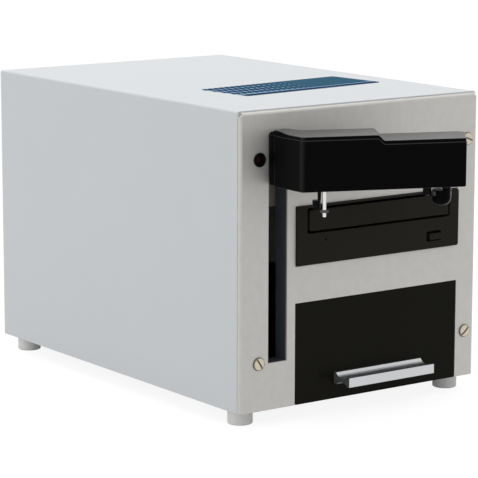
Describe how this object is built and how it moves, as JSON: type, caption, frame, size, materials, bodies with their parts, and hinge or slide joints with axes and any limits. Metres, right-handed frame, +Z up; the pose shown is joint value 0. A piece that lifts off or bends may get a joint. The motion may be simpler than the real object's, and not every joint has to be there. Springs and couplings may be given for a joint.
{
  "type": "disc loading station",
  "caption": "Desktop cabinet with an optical drive, a disc drawer and a lifting gripper arm that moves discs between the drawer and the drive's tray.",
  "frame": {"origin": "on the surface that the feet stand on, under the middle of the part's box", "axes": "+X to the right seen from the front, +Y from the front to the back, +Z up"},
  "size_m": [0.215, 0.4108, 0.2238],
  "materials": {
    "cover_paint": "satin",
    "tray_paint": "satin",
    "front_steel": "brushed",
    "plain_steel": "satin",
    "ground_steel": "ground",
    "brass": "turned",
    "foot_plastic": "matte",
    "arm_plastic": "satin",
    "black_plastic": "matte",
    "drive_plastic": "matte",
    "drawer_gloss": "gloss",
    "grey_plastic": "matte",
    "lamp_red": "gloss",
    "lamp_green": "gloss",
    "label_film": "satin",
    "anodised": "anodised",
    "milled": "milled",
    "carriage_tint": "anodised",
    "board_green": "matte"
  },
  "bodies": {
    "cabinet": {"base_tray": "tray_paint", "cover": "cover_paint", "front_panel": "front_steel", "rear_panel": "tray_paint", "feet": "foot_plastic", "case_screws": "plain_steel", "front_screws": "brass", "lamp_bezel": "black_plastic", "lamp_lens": "lamp_red", "top_label": "label_film", "slot_liner": "black_plastic", "lift_bracket": "plain_steel", "guide_rods": "ground_steel", "lift_motor": "milled", "screw_bearing": "plain_steel", "limit_switches": "black_plastic", "drive_case": "plain_steel", "drive_bezel": "drive_plastic", "drive_deck": "grey_plastic", "drive_lamp": "lamp_green", "drive_cage": "plain_steel", "drawer_runners": "plain_steel", "control_board": "board_green", "board_standoffs": "brass", "usb_port": "plain_steel", "power_supply": "plain_steel", "fan_frame": "black_plastic", "fan_guard": "plain_steel", "power_inlet": "black_plastic"},
    "arm": {"carriage_plate": "carriage_tint", "carriage_block": "milled", "slide_bushes": "brass", "lift_nut": "brass", "arm_neck": "milled", "arm_shell": "arm_plastic", "arm_lid": "arm_plastic", "gripper_hub": "black_plastic", "gripper_solenoid": "milled", "guide_pin": "ground_steel", "finger_post": "black_plastic"},
    "screw": {"lead_screw": "ground_steel"},
    "plunger": {"gripper_plunger": "plain_steel"},
    "jaw_1": {"gripper_jaw_1": "grey_plastic"},
    "jaw_2": {"gripper_jaw_2": "grey_plastic"},
    "jaw_3": {"gripper_jaw_3": "grey_plastic"},
    "feeler": {"disc_sensor": "black_plastic"},
    "tray": {"drive_tray": "drive_plastic", "tray_door": "drive_plastic"},
    "button": {"eject_button": "drive_plastic"},
    "spindle": {"drive_spindle": "grey_plastic"},
    "sled": {"drive_sled": "grey_plastic"},
    "drawer": {"drawer_front": "drawer_gloss", "drawer_bin": "black_plastic", "disc_posts": "grey_plastic", "drawer_slides": "plain_steel", "drawer_handle": "anodised", "handle_screws": "plain_steel"},
    "fan": {"fan_rotor": "black_plastic"},
    "rocker": {"power_rocker": "black_plastic"}
  },
  "joints": [
    {"name": "arm_lift", "type": "slide", "parent": "cabinet", "child": "arm", "axis": [0, 0, 1], "range_m": [-0.126, 0]},
    {"name": "screw_turn", "type": "hinge", "parent": "cabinet", "child": "screw", "pos_m": [-0.083, -0.07744, 0.111], "axis": [0, 0, 1], "continuous": true},
    {"name": "plunger_press", "type": "slide", "parent": "arm", "child": "plunger", "axis": [0, 0, -1], "range_m": [0, 0.002], "stiffness_N_per_m": 200, "springref_m": -0.001},
    {"name": "jaw_1_spread", "type": "slide", "parent": "arm", "child": "jaw_1", "axis": [0.5, 0.866, 0], "range_m": [0, 0.0008]},
    {"name": "jaw_2_spread", "type": "slide", "parent": "arm", "child": "jaw_2", "axis": [-1, 0, 0], "range_m": [0, 0.0008]},
    {"name": "jaw_3_spread", "type": "slide", "parent": "arm", "child": "jaw_3", "axis": [0.5, -0.866, 0], "range_m": [0, 0.0008]},
    {"name": "feeler_push", "type": "slide", "parent": "arm", "child": "feeler", "axis": [0, 0, 1], "range_m": [0, 0.003], "stiffness_N_per_m": 60, "springref_m": -0.001},
    {"name": "tray_slide", "type": "slide", "parent": "cabinet", "child": "tray", "axis": [0, -1, 0], "range_m": [0, 0.141]},
    {"name": "eject_press", "type": "slide", "parent": "cabinet", "child": "button", "axis": [0, 1, 0], "range_m": [0, 0.0012], "stiffness_N_per_m": 300, "springref_m": -0.0005},
    {"name": "spindle_turn", "type": "hinge", "parent": "cabinet", "child": "spindle", "pos_m": [0.0152, -0.04694, 0.12255], "axis": [0, 0, 1], "continuous": true},
    {"name": "sled_slide", "type": "slide", "parent": "cabinet", "child": "sled", "axis": [0, 1, 0], "range_m": [0, 0.033]},
    {"name": "drawer_slide", "type": "slide", "parent": "cabinet", "child": "drawer", "axis": [0, -1, 0], "range_m": [0, 0.139]},
    {"name": "fan_turn", "type": "hinge", "parent": "cabinet", "child": "fan", "pos_m": [-0.05, 0.19116, 0.161], "axis": [0, 1, 0], "continuous": true},
    {"name": "rocker_tilt", "type": "hinge", "parent": "cabinet", "child": "rocker", "pos_m": [0.076, 0.19976, 0.065], "axis": [1, 0, 0], "range_deg": [0, 16]}
  ],
  "couplings": [
    {"joint": "screw_turn", "follows": "arm_lift", "rad_per_m": -785.4},
    {"joint": "jaw_1_spread", "follows": "plunger_press", "ratio": 0.4},
    {"joint": "jaw_2_spread", "follows": "plunger_press", "ratio": 0.4},
    {"joint": "jaw_3_spread", "follows": "plunger_press", "ratio": 0.4}
  ]
}
